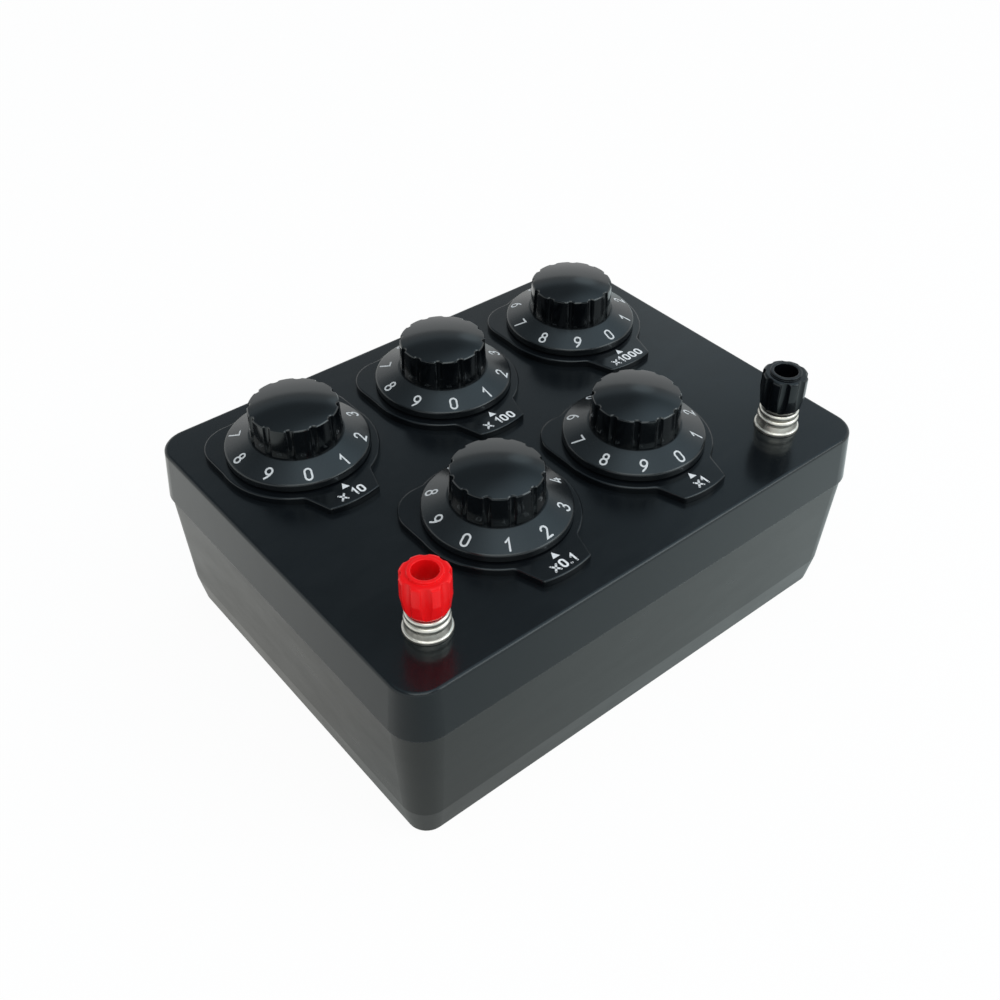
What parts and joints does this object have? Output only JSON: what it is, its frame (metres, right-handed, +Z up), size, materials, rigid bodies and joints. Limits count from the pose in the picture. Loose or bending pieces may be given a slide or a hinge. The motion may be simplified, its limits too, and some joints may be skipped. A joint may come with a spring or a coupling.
{
  "type": "resistance decade box",
  "caption": "Bench resistance decade box: a moulded case and lid panel with indexed rotary dials, numbered skirts, fluted knobs and binding posts.",
  "frame": {"origin": "middle of the case's outline at the foot, on the bench", "axes": "+X along the long side to the user's right, +Y away from the user, +Z up out of the panel"},
  "size_m": [0.193, 0.1476, 0.0908],
  "materials": {
    "lid_gloss_black": "gloss black moulding, slightly blue",
    "case_black": "fine-grained satin black moulding",
    "plate_black": "gloss black with white print",
    "dial_black": "satin black with white engraved digits",
    "knob_black": "satin black",
    "cap_red": "gloss red",
    "cap_black": "gloss black",
    "post_nickel": "nickel-plated, turned",
    "nut_nickel": "nickel-plated",
    "lug_tinned": "tinned",
    "screw_steel": "zinc-plated",
    "spring_steel": "bright",
    "shaft_brass": "turned",
    "bushing_brass": "turned",
    "brush_bronze": "stamped",
    "contact_brass": "polished",
    "deck_laminate": "paper laminate",
    "bobbin_ceramic": "wound and lacquered",
    "wire_insulation": "insulated wire"
  },
  "bodies": {
    "box": {"lid_panel": "lid_gloss_black", "lower_case": "case_black", "case_screws": "screw_steel", "dial_plate_tenths": "plate_black", "switch_deck_tenths": "deck_laminate", "contacts_tenths": "contact_brass", "resistors_tenths": "bobbin_ceramic", "dial_plate_ones": "plate_black", "switch_deck_ones": "deck_laminate", "contacts_ones": "contact_brass", "resistors_ones": "bobbin_ceramic", "dial_plate_tens": "plate_black", "switch_deck_tens": "deck_laminate", "contacts_tens": "contact_brass", "resistors_tens": "bobbin_ceramic", "dial_plate_hundreds": "plate_black", "switch_deck_hundreds": "deck_laminate", "contacts_hundreds": "contact_brass", "resistors_hundreds": "bobbin_ceramic", "dial_plate_thousands": "plate_black", "switch_deck_thousands": "deck_laminate", "contacts_thousands": "contact_brass", "resistors_thousands": "bobbin_ceramic", "bushings": "bushing_brass", "bushing_nuts": "nut_nickel", "index_springs": "spring_steel", "deck_screws": "screw_steel", "post_studs": "post_nickel", "post_nuts": "nut_nickel", "solder_lugs": "lug_tinned", "hookup_wires": "wire_insulation"},
    "dial_tenths": {"dial_skirt_tenths": "dial_black", "knob_tenths": "knob_black", "grip_screw_tenths": "screw_steel", "switch_shaft_tenths": "shaft_brass", "brush_tenths": "brush_bronze"},
    "dial_ones": {"dial_skirt_ones": "dial_black", "knob_ones": "knob_black", "grip_screw_ones": "screw_steel", "switch_shaft_ones": "shaft_brass", "brush_ones": "brush_bronze"},
    "dial_tens": {"dial_skirt_tens": "dial_black", "knob_tens": "knob_black", "grip_screw_tens": "screw_steel", "switch_shaft_tens": "shaft_brass", "brush_tens": "brush_bronze"},
    "dial_hundreds": {"dial_skirt_hundreds": "dial_black", "knob_hundreds": "knob_black", "grip_screw_hundreds": "screw_steel", "switch_shaft_hundreds": "shaft_brass", "brush_hundreds": "brush_bronze"},
    "dial_thousands": {"dial_skirt_thousands": "dial_black", "knob_thousands": "knob_black", "grip_screw_thousands": "screw_steel", "switch_shaft_thousands": "shaft_brass", "brush_thousands": "brush_bronze"},
    "clamp_washer_red": {"clamp_washer_red": "post_nickel"},
    "cap_red": {"cap_red": "cap_red"},
    "clamp_washer_black": {"clamp_washer_black": "post_nickel"},
    "cap_black": {"cap_black": "cap_black"}
  },
  "joints": [
    {"name": "dial_tenths_turn", "type": "hinge", "parent": "box", "child": "dial_tenths", "pos_m": [-0.0293, -0.02819, 0.0683], "axis": [0, 0, 1], "continuous": true},
    {"name": "dial_ones_turn", "type": "hinge", "parent": "box", "child": "dial_ones", "pos_m": [0.0293, -0.02819, 0.0683], "axis": [0, 0, 1], "continuous": true},
    {"name": "dial_tens_turn", "type": "hinge", "parent": "box", "child": "dial_tens", "pos_m": [-0.05991, 0.0376, 0.0683], "axis": [0, 0, 1], "continuous": true},
    {"name": "dial_hundreds_turn", "type": "hinge", "parent": "box", "child": "dial_hundreds", "pos_m": [0, 0.0376, 0.0683], "axis": [0, 0, 1], "continuous": true},
    {"name": "dial_thousands_turn", "type": "hinge", "parent": "box", "child": "dial_thousands", "pos_m": [0.05991, 0.0376, 0.0683], "axis": [0, 0, 1], "continuous": true},
    {"name": "clamp_washer_red_lift", "type": "slide", "parent": "box", "child": "clamp_washer_red", "axis": [0, 0, 1], "range_m": [0, 0.004]},
    {"name": "cap_red_turn", "type": "hinge", "parent": "clamp_washer_red", "child": "cap_red", "pos_m": [-0.0741, -0.05215, 0.07645], "axis": [0, 0, 1], "range_deg": [0, 1450]},
    {"name": "clamp_washer_black_lift", "type": "slide", "parent": "box", "child": "clamp_washer_black", "axis": [0, 0, 1], "range_m": [0, 0.004]},
    {"name": "cap_black_turn", "type": "hinge", "parent": "clamp_washer_black", "child": "cap_black", "pos_m": [0.0741, -0.05215, 0.07645], "axis": [0, 0, 1], "range_deg": [0, 1450]}
  ],
  "couplings": [
    {"joint": "cap_red_turn", "follows": "clamp_washer_red_lift", "rad_per_m": 6283.2},
    {"joint": "cap_black_turn", "follows": "clamp_washer_black_lift", "rad_per_m": 6283.2}
  ]
}
